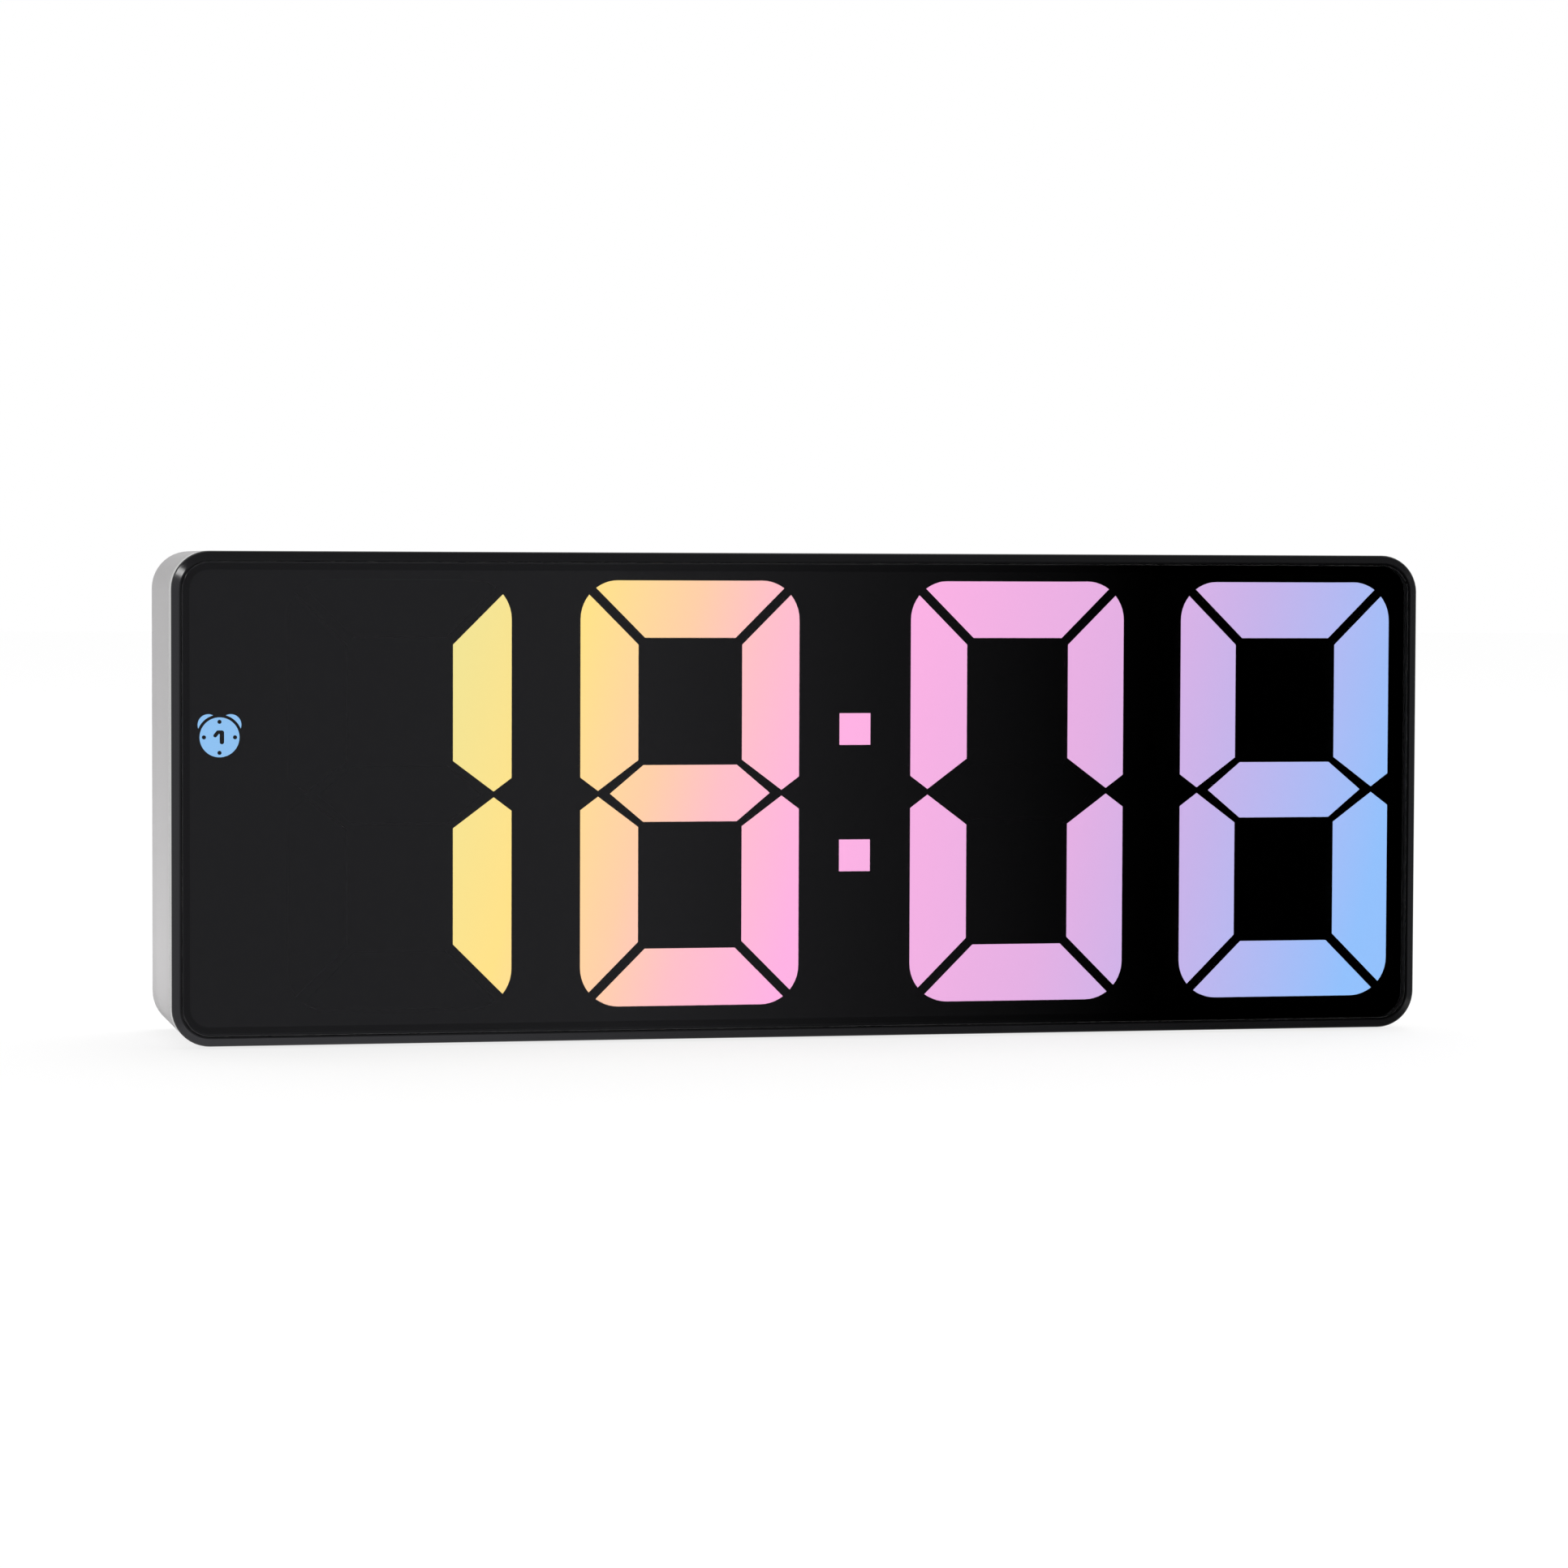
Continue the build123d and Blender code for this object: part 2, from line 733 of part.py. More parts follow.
# Rear housing: a tray with the battery bay, screw posts and button strip in its back
with BuildPart() as rear_housing:
    extrude(
        rounded_face(panel_width, panel_height, panel_corner, back_y),
        amount=back_y - frame_back_y,
    )
    fillet(rear_housing.edges().group_by(Axis.Y)[-1], housing_back_round)
    fillet(rear_housing.edges().group_by(Axis.Y)[0], housing_front_round)
    extrude(
        rounded_face(cavity_width, cavity_height, cavity_corner, wall_inner_y),
        amount=wall_inner_y - frame_back_y + overrun,
        mode=Mode.SUBTRACT,
    )
    # battery bay
    extrude(
        plain_face(bay_block_length, bay_block_height, wall_inner_y, [(bay_x, bay_z)]),
        amount=wall_inner_y - bay_front_y,
    )
    extrude(
        plain_face(bay_length, bay_height, back_y + overrun, [(bay_x, bay_z)]),
        amount=back_y - bay_floor_y + overrun,
        mode=Mode.SUBTRACT,
    )
    extrude(
        plain_face(recess_length, recess_height, back_y + overrun, [(bay_x, bay_z)]),
        amount=back_y - door_floor_y + overrun,
        mode=Mode.SUBTRACT,
    )
    extrude(
        disc_face(notch_radius, back_y + overrun, [(bay_x, bay_z + recess_height / 2)]),
        amount=notch_depth + overrun,
        mode=Mode.SUBTRACT,
    )
    hinge_plane = Plane(origin=(bay_x, hinge_y, panel_z + hinge_z), x_dir=(0, 1, 0), z_dir=(1, 0, 0))
    with BuildSketch(hinge_plane):
        Circle(hinge_pin_radius + close_fit)
    extrude(amount=door_length / 2 + hinge_pin_length + slip, both=True, mode=Mode.SUBTRACT)
    # slots for the tails of the battery contacts
    extrude(
        plain_face(
            plate_thickness + tail_slot_fit,
            tail_width + 2 * tail_slot_fit,
            bay_floor_y + overrun,
            [
                (bay_left_x + plate_thickness / 2 + tail_slot_fit / 2, cell_rows[0]),
                (bay_right_x - plate_thickness / 2 - tail_slot_fit / 2, cell_rows[2]),
            ],
        ),
        amount=bay_floor + 2 * overrun,
        mode=Mode.SUBTRACT,
    )
    # screw posts with deep wells for the heads
    well_radius = housing_screw_head + well_fit
    extrude(
        disc_face(well_radius + post_wall, wall_inner_y, housing_screw_points),
        amount=wall_inner_y - board_rear_y,
    )
    extrude(
        disc_face(well_radius, back_y + overrun, housing_screw_points),
        amount=back_y - screw_seat_y + overrun,
        mode=Mode.SUBTRACT,
    )
    extrude(
        disc_face(housing_screw_radius + hole_fit, screw_seat_y, housing_screw_points),
        amount=housing_screw_land + overrun,
        mode=Mode.SUBTRACT,
    )
    # sunk strip with the button openings, and the posts of the key board
    extrude(
        rounded_face(
            strip_length,
            button_strip_height,
            button_strip_corner,
            back_y + overrun,
            (key_board_x, button_row_rise),
        ),
        amount=button_strip_depth + overrun,
        mode=Mode.SUBTRACT,
    )
    for point in button_points:
        extrude(
            rounded_face(
                button_width + 2 * button_fit,
                button_height + 2 * button_fit,
                button_corner + button_fit,
                back_y,
                point,
            ),
            amount=back_wall,
            mode=Mode.SUBTRACT,
        )
    extrude(
        disc_face(key_post_radius, wall_inner_y, key_post_points),
        amount=wall_inner_y - key_board_rear_y,
    )
    extrude(
        disc_face(key_screw_radius + close_fit, key_board_rear_y, key_post_points),
        amount=-(key_screw_bite + pilot_spare),
        mode=Mode.SUBTRACT,
    )
    # opening of the power inlet
    with BuildSketch(face_plane(back_y + overrun)) as inlet_opening:
        with Locations(inlet_point):
            SlotOverall(usb_width + 2 * usb_opening_fit, usb_height + 2 * usb_opening_fit)
    extrude(inlet_opening.sketch, amount=back_wall + 2 * overrun, mode=Mode.SUBTRACT)
    # sound holes over the sounder
    with BuildSketch(face_plane(back_y + overrun)) as sound_holes:
        with Locations(*buzzer_points):
            Circle(sound_hole_radius)
            with PolarLocations(sound_hole_ring, sound_hole_count):
                Circle(sound_hole_radius)
    extrude(sound_holes.sketch, amount=back_wall + 2 * overrun, mode=Mode.SUBTRACT)
    # recesses for the feet
    foot_points = [(x, y) for x in (-foot_across, foot_across) for y in (-foot_front, foot_rear)]
    with BuildSketch(Plane.XY.offset(foot_proud)) as foot_recesses:
        with Locations(*foot_points):
            Circle(foot_radius + slip)
    extrude(foot_recesses.sketch, amount=foot_recess, mode=Mode.SUBTRACT)
hand_in(rear_housing, "rear_housing")

# Long screws that clamp the frame between the reflector and the housing
with BuildPart() as housing_screws:
    add_screws(
        housing_screw_points,
        screw_seat_y,
        1,
        housing_screw_radius,
        housing_screw_land + board_thickness + housing_screw_bite,
        housing_screw_head,
        housing_screw_head_height,
    )
hand_in(housing_screws, "housing_screws")

# Rubber feet in their recesses
with BuildPart() as rubber_feet:
    with BuildSketch(Plane.XY):
        with Locations(*foot_points):
            Circle(foot_radius)
    extrude(amount=foot_proud + foot_recess)
    fillet(rubber_feet.edges().group_by(Axis.Z)[0], foot_edge)
hand_in(rubber_feet, "rubber_feet")

# Battery door, hinged on two pins at its rounded lower edge
with BuildPart() as battery_door:
    door_plane = Plane(origin=(bay_x, hinge_y, panel_z + hinge_z), x_dir=(0, 1, 0), z_dir=(1, 0, 0))
    plate_tall = door_top_z - hinge_z
    with BuildSketch(door_plane):
        Circle(door_thickness / 2)
        with Locations((0, plate_tall / 2)):
            Rectangle(door_thickness, plate_tall)
    extrude(amount=door_length / 2, both=True)
    with BuildSketch(door_plane):
        Circle(hinge_pin_radius)
    extrude(amount=door_length / 2 + hinge_pin_length, both=True)
    # two slots free a springy tongue at the top
    tongue_side = tongue_width / 2 + tongue_slot / 2
    extrude(
        plain_face(
            tongue_slot,
            tongue_length + overrun,
            back_y + overrun,
            [(bay_x + side * tongue_side, door_top_z - tongue_length / 2 + overrun / 2) for side in (1, -1)],
        ),
        amount=door_thickness + 2 * overrun,
        mode=Mode.SUBTRACT,
    )
    # sunk thumb patch with grip ribs
    thumb_z = door_top_z - thumb_margin - thumb_height / 2
    extrude(
        plain_face(tongue_width - 2 * thumb_margin, thumb_height, back_y + overrun, [(bay_x, thumb_z)]),
        amount=thumb_depth + overrun,
        mode=Mode.SUBTRACT,
    )
    grip_pitch = grip_width + grip_gap
    grip_shift = (grip_count - 1) / 2 * grip_pitch
    extrude(
        plain_face(
            tongue_width - 2 * thumb_margin,
            grip_width,
            back_y - thumb_depth,
            [(bay_x, thumb_z - grip_shift + rib * grip_pitch) for rib in range(grip_count)],
        ),
        amount=-grip_height,
    )
    # snap nib on the tongue's edge
    nib_plane = Plane(origin=(bay_x, hinge_y, panel_z + door_top_z), x_dir=(1, 0, 0), z_dir=(0, 0, 1))
    with BuildSketch(nib_plane):
        Rectangle(nib_width, nib_depth)
    extrude(amount=nib_height)
hand_in(battery_door, "battery_door")


def contact_face(y, left_end, first_row, last_row):
    """Outline of a contact plate, seen from the front, standing at one end of the bay."""
    plate_x = bay_left_x + plate_thickness / 2 if left_end else bay_right_x - plate_thickness / 2
    tall = cell_rows[first_row] - cell_rows[last_row] + plate_width
    return plain_face(plate_thickness, tall, y, [(plate_x, (cell_rows[first_row] + cell_rows[last_row]) / 2)])


# Contact plates: single ones with tails to the board, and two bridges between neighbours
with BuildPart() as battery_contacts:
    for left_end, first_row, last_row in ((True, 0, 0), (True, 1, 2), (False, 0, 1), (False, 2, 2)):
        extrude(contact_face(bay_floor_y, left_end, first_row, last_row), amount=-plate_height)
    extrude(
        plain_face(
            plate_thickness,
            tail_width,
            bay_floor_y,
            [
                (bay_left_x + plate_thickness / 2, cell_rows[0]),
                (bay_right_x - plate_thickness / 2, cell_rows[2]),
            ],
        ),
        amount=bay_floor_y - board_rear_y,
    )
    for left_end, row in ((True, 1), (False, 0), (False, 2)):
        nub_x = bay_left_x + plate_thickness if left_end else bay_right_x - plate_thickness
        inward = 1 if left_end else -1
        nub_plane = Plane(origin=(nub_x, cell_y, panel_z + cell_rows[row]), x_dir=(0, 1, 0), z_dir=(1, 0, 0))
        with BuildSketch(nub_plane) as nub:
            Circle(nub_radius)
        extrude(nub.sketch, amount=inward * nub_height)
hand_in(battery_contacts, "battery_contacts")

# Conical springs, wound in quarter turns of two tangent arcs each
quarter_count = 4 * spring_turns
wire_radius = spring_wire / 2


def coil_station(quarter, start, inward):
    """Point and heading of the wire after so many quarter turns."""
    share = quarter / quarter_count
    turn = quarter * pi / 2
    narrowing = spring_base_radius - spring_tip_radius
    radius = spring_base_radius - narrowing * share
    reach = spring_length - spring_wire
    point = start + Vector(inward * (wire_radius + reach * share), radius * cos(turn), radius * sin(turn))
    rate = pi / 2 * quarter_count
    heading = Vector(
        inward * reach,
        -radius * rate * sin(turn) - narrowing * cos(turn),
        radius * rate * cos(turn) - narrowing * sin(turn),
    )
    return point, heading.normalized()


def coil_joint(first, first_heading, last, last_heading):
    """Point where two equal-armed tangent arcs between the stations meet, and the heading there."""
    span = last - first
    both = first_heading + last_heading
    spread = 2 * (1 - first_heading.dot(last_heading))
    along = span.dot(both)
    arm = (sqrt(along * along + spread * span.dot(span)) - along) / spread
    joint = (first + last + (first_heading - last_heading) * arm) * (1 / 2)
    return joint, (last - last_heading * arm - first - first_heading * arm).normalized()


with BuildPart() as battery_springs:
    for left_end, row in ((True, 0), (False, 1), (True, 2)):
        coil_x = bay_left_x + plate_thickness if left_end else bay_right_x - plate_thickness
        coil_inward = 1 if left_end else -1
        coil_start = Vector(coil_x, cell_y, panel_z + cell_rows[row])
        with BuildLine() as coil_path:
            for quarter in range(quarter_count):
                here, here_heading = coil_station(quarter, coil_start, coil_inward)
                there, there_heading = coil_station(quarter + 1, coil_start, coil_inward)
                meeting, meeting_heading = coil_joint(here, here_heading, there, there_heading)
                TangentArc(here, meeting, tangent=here_heading)
                TangentArc(meeting, there, tangent=meeting_heading)
        begin, begin_heading = coil_station(0, coil_start, coil_inward)
        with BuildSketch(Plane(origin=begin, z_dir=begin_heading)) as wire_section:
            Circle(wire_radius)
        sweep(wire_section.sketch, path=coil_path.wire())
hand_in(battery_springs, "battery_springs")
coil_pitch = (spring_length - spring_wire) / spring_turns
print("clear gap between spring turns:", round(coil_pitch - spring_wire, 3), "mm")

# Key board behind the buttons
with BuildPart() as key_board:
    extrude(
        rounded_face(
            key_board_length,
            key_board_height,
            key_board_corner,
            key_board_rear_y,
            (key_board_x, 0),
        ),
        amount=key_board_thickness,
    )
    extrude(
        disc_face(key_screw_radius + hole_fit, key_board_rear_y, key_post_points),
        amount=key_board_thickness,
        mode=Mode.SUBTRACT,
    )
hand_in(key_board, "key_board")

with BuildPart() as key_board_screws:
    add_screws(
        key_post_points,
        key_board_front_y,
        -1,
        key_screw_radius,
        key_board_thickness + key_screw_bite,
        key_screw_head,
        key_screw_head_height,
    )
hand_in(key_board_screws, "key_board_screws")

# Header that joins the two boards
with BuildPart() as board_header:
    extrude(
        plain_face(header_length, header_width, key_board_front_y, [(key_board_x, header_rise)]),
        amount=key_board_front_y - board_rear_y,
    )
hand_in(board_header, "board_header")

# Switch bodies, each with a bore for its plunger
with BuildPart() as key_switches:
    extrude(plain_face(switch_size, switch_size, switch_top_y, button_points), amount=switch_height)
    extrude(
        disc_face(plunger_radius + close_fit, switch_top_y, button_points),
        amount=plunger_depth + plunger_spare,
        mode=Mode.SUBTRACT,
    )
hand_in(key_switches, "key_switches")

# Button caps and the switch plungers that go in with them
for button_name, button_point in zip(button_names, button_points):
    with BuildPart() as button_cap:
        extrude(
            rounded_face(button_width, button_height, button_corner, button_face_y, button_point),
            amount=button_face_y - button_flange_y,
        )
        fillet(button_cap.edges().group_by(Axis.Y)[-1], button_edge)
        extrude(
            rounded_face(
                button_width + 2 * button_flange,
                button_height + 2 * button_flange,
                button_corner + button_flange,
                button_flange_y + button_flange_thickness,
                button_point,
            ),
            amount=button_flange_thickness,
        )
        extrude(
            disc_face(button_stem_radius, button_flange_y, [button_point]),
            amount=button_stem_length,
        )
    hand_in(button_cap, f"{button_name}_button")

    with BuildPart() as switch_plunger:
        extrude(
            disc_face(plunger_radius, plunger_top_y, [button_point]),
            amount=plunger_proud + plunger_depth,
        )
    hand_in(switch_plunger, f"{button_name}_plunger")

# Power inlet: metal shell and the tongue inside it
with BuildPart() as usb_shell:
    with BuildSketch(face_plane(back_y - usb_sink)) as shell_outline:
        with Locations(inlet_point):
            SlotOverall(usb_width, usb_height)
    extrude(shell_outline.sketch, amount=back_y - usb_sink - key_board_rear_y)
    with BuildSketch(face_plane(back_y - usb_sink)) as shell_inside:
        with Locations(inlet_point):
            SlotOverall(usb_width - 2 * usb_wall, usb_height - 2 * usb_wall)
    extrude(
        shell_inside.sketch,
        amount=back_y - usb_sink - key_board_rear_y - usb_base,
        mode=Mode.SUBTRACT,
    )
hand_in(usb_shell, "usb_shell")

with BuildPart() as usb_tongue:
    extrude(
        plain_face(usb_tongue_width, usb_tongue_height, back_y - usb_sink - usb_tongue_sink, [inlet_point]),
        amount=back_y - usb_sink - usb_tongue_sink - key_board_rear_y - usb_base,
    )
hand_in(usb_tongue, "usb_tongue")

# Alarm sounder on the key board, its mouth towards the back wall
with BuildPart() as buzzer:
    buzzer_top_y = key_board_rear_y + buzzer_height
    extrude(disc_face(buzzer_radius, buzzer_top_y, buzzer_points), amount=buzzer_height)
    fillet(buzzer.edges().group_by(Axis.Y)[-1], buzzer_edge)
    extrude(
        disc_face(buzzer_bore_radius, buzzer_top_y, buzzer_points),
        amount=buzzer_bore_depth,
        mode=Mode.SUBTRACT,
    )
hand_in(buzzer, "buzzer")
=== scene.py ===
import math

import bmesh
import bpy
from bpy.props import FloatProperty, FloatVectorProperty, PointerProperty
from mathutils import Matrix, Quaternion, Vector


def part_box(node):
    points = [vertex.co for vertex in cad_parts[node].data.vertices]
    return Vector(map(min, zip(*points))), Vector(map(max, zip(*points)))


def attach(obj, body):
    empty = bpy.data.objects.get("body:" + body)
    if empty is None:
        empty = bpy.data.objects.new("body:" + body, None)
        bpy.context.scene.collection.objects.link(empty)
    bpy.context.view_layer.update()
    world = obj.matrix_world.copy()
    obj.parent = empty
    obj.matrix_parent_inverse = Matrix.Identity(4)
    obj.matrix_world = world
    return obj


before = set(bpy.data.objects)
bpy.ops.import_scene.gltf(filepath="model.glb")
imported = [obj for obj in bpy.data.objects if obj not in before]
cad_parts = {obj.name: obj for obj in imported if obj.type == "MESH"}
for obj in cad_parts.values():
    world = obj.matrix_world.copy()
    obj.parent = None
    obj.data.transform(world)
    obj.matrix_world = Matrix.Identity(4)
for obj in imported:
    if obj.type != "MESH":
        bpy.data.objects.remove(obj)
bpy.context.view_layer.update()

bl_info = {
    "name": "Desk Clock Looks",
    "version": (1, 0, 0),
    "blender": (4, 5, 0),
    "location": "3D View > Sidebar > Desk Clock",
    "description": "Finishes, lit display, small marks and studio of a digital desk clock",
    "category": "Object",
}

BUTTONS = ("mode", "set", "up", "down", "alarm")
MM = 0.001
WHITE = (1.0, 1.0, 1.0)

# Floor of the battery bay, from the clock's middle plane towards the back
BAY_FLOOR = 2.05 * MM

# Cards before the front: name, reach across, reach upwards, where their greys start,
# the width that these run over, and the greys from left to right
CARDS = (
    (
        "dark card",
        (-1.2, 7.0),
        (-1.2, 1.2),
        0.332,
        4.3,
        ((0.0, 0.29), (0.034, 0.13), (0.068, 0.0), (0.34, 0.0), (0.63, 0.05), (0.84, 0.12), (1.0, 0.4)),
    ),
    ("side card", (-4.0, -1.2), (-1.2, 1.2), -1.5, 0.3, ((0.0, 0.8), (1.0, 0.6))),
    ("dim card", (-4.0, 4.0), (1.2, 3.4), 0.0, 1.0, ((0.0, 0.24), (1.0, 0.18))),
    ("pale card", (-4.0, 4.0), (-4.0, -1.2), 0.29, 0.64, ((0.0, 1.05), (0.5, 0.5), (1.0, 0.09))),
)
CARD_DISTANCE = 2.0

# Lamps: name, place, aim, width, power, and whether gloss shows them
LAMPS = (
    ("key lamp", (-0.95, -1.22, 0.65), (0.0, 0.0, 0.03), 0.25, 2.4, True),
    ("low lamp", (-0.115, 0.0, 0.002), (-0.115, 0.0, 1.0), 0.06, 0.0125, False),
    ("top lamp", (0.2, 0.4, 1.8), (0.0, 0.0, 0.03), 0.8, 4.0, True),
)
FLOOR_REACH = 4.0

# Light of the surroundings: the way that is brightest, and the levels there and before the clock
BRIGHT_WAY = (0.50, 0.75, 0.43)
BRIGHT_FILL = 1.45
DIM_FILL = 0.21

# Camera fitted to the edges of the clock in the photo
FOCAL_LENGTH = 113.56
SENSOR_WIDTH = 36.0
CAMERA_PLACE = (-0.1371, -0.6324, 0.0602)
CAMERA_AIM = (0.2113, 0.97646, -0.04332)
CAMERA_ROLL = 0.00356


def srgb(red, green, blue):
    """Linear colour of a display colour given in steps of 255."""
    values = []
    for step in (red, green, blue):
        part = step / 255
        values.append(part / 12.92 if part <= 0.04045 else ((part + 0.055) / 1.055) ** 2.4)
    return tuple(values)


def toned(colour, factor):
    """The colour made lighter or darker, with a full alpha."""
    return (*(part * factor for part in colour), 1.0)


def colour_property(name, description, default):
    return FloatVectorProperty(
        name=name, description=description, subtype="COLOR", size=3, min=0.0, max=1.0, default=default
    )


def length_property(name, description, default):
    return FloatProperty(name=name, description=description, unit="LENGTH", precision=5, default=default)


class ClockColours(bpy.types.PropertyGroup):
    """Colours of the clock's mouldings, prints and metals."""

    housing: colour_property(
        "Housing", "Light grey of the rear housing and the battery door", srgb(188, 186, 187)
    )
    buttons: colour_property("Buttons", "Grey of the five button caps", srgb(168, 167, 168))
    marks: colour_property("Marks", "Grey of the smooth moulded marks", srgb(150, 149, 150))
    front: colour_property("Front", "Black of the satin front frame", srgb(15, 15, 16))
    lens: colour_property("Lens", "Smoked tint of the front lens", (0.4, 0.4, 0.4))
    # This black also stands on the bar films as painted shade for the dark behind the smoked lens.
    mask: colour_property("Mask", "Black of the printed mask and the dark bars", srgb(5, 5, 5))
    ink: colour_property("Ink", "Dark grey of the printed marks on the back", srgb(58, 58, 61))
    nickel: colour_property("Nickel", "Plating of the contacts, springs and inlet", srgb(214, 210, 203))
    zinc: colour_property("Zinc", "Plating of the screws", srgb(186, 188, 192))
    board: colour_property("Board", "Lacquer of the circuit boards", srgb(28, 92, 52))
    reflector: colour_property("Reflector", "White of the reflector block", srgb(232, 232, 229))
    rubber: colour_property("Rubber", "Black of the feet", srgb(34, 34, 35))


class ClockGlow(bpy.types.PropertyGroup):
    """Light of the display: eight tones from the left end to the right end, and the alarm pictogram."""

    tone_1: colour_property("Pale lemon", "Tone at the left end", srgb(239, 226, 147))
    tone_2: colour_property("Warm yellow", "Second tone", srgb(254, 224, 135))
    tone_3: colour_property("Peach", "Third tone", srgb(254, 206, 167))
    tone_4: colour_property("Salmon", "Fourth tone", srgb(254, 191, 199))
    tone_5: colour_property("Pink", "Fifth tone", srgb(254, 177, 227))
    tone_6: colour_property("Orchid", "Sixth tone", srgb(228, 176, 227))
    tone_7: colour_property("Lilac", "Seventh tone", srgb(198, 180, 234))
    tone_8: colour_property("Sky", "Tone at the right end", srgb(147, 193, 252))
    icon: colour_property("Alarm pictogram", "Tone of the alarm pictogram", srgb(140, 191, 239))
    slant: FloatProperty(
        name="Slant", description="Lean of the colour change", subtype="ANGLE", default=math.radians(15)
    )
    left_end: length_property("Left end", "Where the first tone stands, from the middle", -0.050)
    right_end: length_property("Right end", "Where the last tone stands, from the middle", 0.078)
    strength: FloatProperty(
        name="Strength", description="Light of the bars behind the smoked lens", default=2.72
    )


class ClockSizes(bpy.types.PropertyGroup):
    """Sizes of the moulded grain and of the marks on the back."""

    grain: length_property("Grain", "Grain of the textured mouldings", 0.30 * MM)
    grain_depth: length_property("Grain depth", "Depth of that grain", 0.03 * MM)
    print_proud: length_property("Print", "How far a printed mark stands proud", 0.03 * MM)
    mould_proud: length_property("Moulded mark", "How far a moulded mark stands proud", 0.15 * MM)
    mark_root: length_property("Root", "How far a mark reaches into what carries it", 0.02 * MM)
    cell_length: length_property("Cell length", "Length of the cell outlines in the bay", 40.0 * MM)
    cell_width: length_property("Cell width", "Width of the cell outlines in the bay", 8.6 * MM)
    outline: length_property("Outline", "Line width of the cell outlines", 0.5 * MM)


class Wire:
    """An output socket; arithmetic on it adds Math nodes to its tree."""

    def __init__(self, nodes, socket):
        self.nodes = nodes
        self.socket = socket

    def reckon(self, operation, first, second):
        return self.nodes.add("ShaderNodeMath", {"operation": operation}, {0: first, 1: second})

    def __add__(self, other):
        return self.reckon("ADD", self, other)

    __radd__ = __add__

    def __sub__(self, other):
        return self.reckon("SUBTRACT", self, other)

    def __rsub__(self, other):
        return self.reckon("SUBTRACT", other, self)

    def __mul__(self, other):
        return self.reckon("MULTIPLY", self, other)

    __rmul__ = __mul__

    def __truediv__(self, other):
        return self.reckon("DIVIDE", self, other)

    def __rtruediv__(self, other):
        return self.reckon("DIVIDE", other, self)

    def __gt__(self, other):
        return self.reckon("GREATER_THAN", self, other)


class Nodes:
    """A node tree, and the one method that adds a node to it."""

    def __init__(self, tree):
        self.tree = tree
        tree.nodes.clear()

    def add(self, kind, settings=None, sockets=None, out=0):
        node = self.tree.nodes.new(kind)
        for name, value in (settings or {}).items():
            if name == "stops":
                stops = node.color_ramp.elements
                stops.remove(stops[1])
                for place, colour in value[1:]:
                    stops.new(place).color = colour
                stops[0].position, stops[0].color = value[0]
            else:
                setattr(node, name, value)
        for key, value in (sockets or {}).items():
            if isinstance(value, Wire):
                self.tree.links.new(value.socket, node.inputs[key])
            else:
                node.inputs[key].default_value = value
        return Wire(self, node.outputs[out]) if node.outputs else None


class Finish(Nodes):
    """A new material with the patterns that the clock's finishes are mixed from."""

    def __init__(self, name):
        self.material = bpy.data.materials.new(name)
        self.material.use_nodes = True
        super().__init__(self.material.node_tree)
        self.place = self.add("ShaderNodeTexCoord", out="Object")

    def noise(self, size, detail=2.0, stretch=None):
        """Noise whose lumps are about size across, drawn out along an axis by stretch."""
        place = self.place
        if stretch:
            place = self.add("ShaderNodeMapping", None, {"Vector": place, "Scale": stretch})
        return self.add("ShaderNodeTexNoise", None, {"Vector": place, "Scale": 1 / size, "Detail": detail})

    def between(self, factor, low, high):
        """Colour that goes from low to high with the factor."""
        return self.add(
            "ShaderNodeMix", {"data_type": "RGBA", "clamp_factor": True}, {0: factor, 6: low, 7: high}, out=2
        )

    def bump(self, height, distance, strength=1.0):
        return self.add(
            "ShaderNodeBump", None, {"Height": height, "Distance": distance, "Strength": strength}
        )

    def surface(self, **sockets):
        """Close the material with one surface shader; underscores in the names stand for spaces."""
        named = {name.replace("_", " "): value for name, value in sockets.items()}
        shader = self.add("ShaderNodeBsdfPrincipled", None, named)
        self.add("ShaderNodeOutputMaterial", None, {"Surface": shader})
        return self.material


def textured_moulding(name, colour, grain, depth, roughness):
    """Spark-eroded moulding: fine even grain, a slow drift of tone and a broken sheen."""
    finish = Finish(name)
    pits = finish.noise(grain, 3.0)
    drift = finish.noise(0.03)
    tone = finish.between(pits * 0.6 + drift * 0.4, toned(colour, 0.86), toned(colour, 1.14))
    return finish.surface(
        Base_Color=tone,
        Roughness=roughness + (pits - 0.5) * 0.25,
        Normal=finish.bump(pits, depth),
    )


def polished_moulding(name, colour, roughness):
    """Polished moulding: barely wavy skin with faint wiping marks in its gloss."""
    finish = Finish(name)
    waves = finish.noise(0.012)
    wiping = finish.noise(0.004, 3.0, (0.35, 1.0, 1.0))
    return finish.surface(
        Base_Color=finish.between(wiping, toned(colour, 0.85), toned(colour, 1.15)),
        Roughness=roughness + (wiping - 0.5) * 0.08,
        Normal=finish.bump(waves, 0.02 * MM),
    )


def plain_moulding(name, colour, roughness):
    """Inner moulding with flow marks."""
    finish = Finish(name)
    flow = finish.noise(0.006, 3.0, (0.4, 1.0, 1.0))
    skin = finish.noise(0.0005)
    return finish.surface(
        Base_Color=finish.between(flow, toned(colour, 0.92), toned(colour, 1.06)),
        Roughness=roughness + (skin - 0.5) * 0.15,
        Normal=finish.bump(skin, 0.01 * MM),
    )


def printed_film(name, colour, gloss):
    """Screen-printed ink: dense, dull, with a fine orange-peel skin."""
    finish = Finish(name)
    peel = finish.noise(0.0004)
    return finish.surface(
        Base_Color=finish.between(peel, toned(colour, 0.8), toned(colour, 1.2)),
        Roughness=0.55 + (peel - 0.5) * 0.2,
        Specular_IOR_Level=gloss,
        Normal=finish.bump(peel, 0.004 * MM),
    )


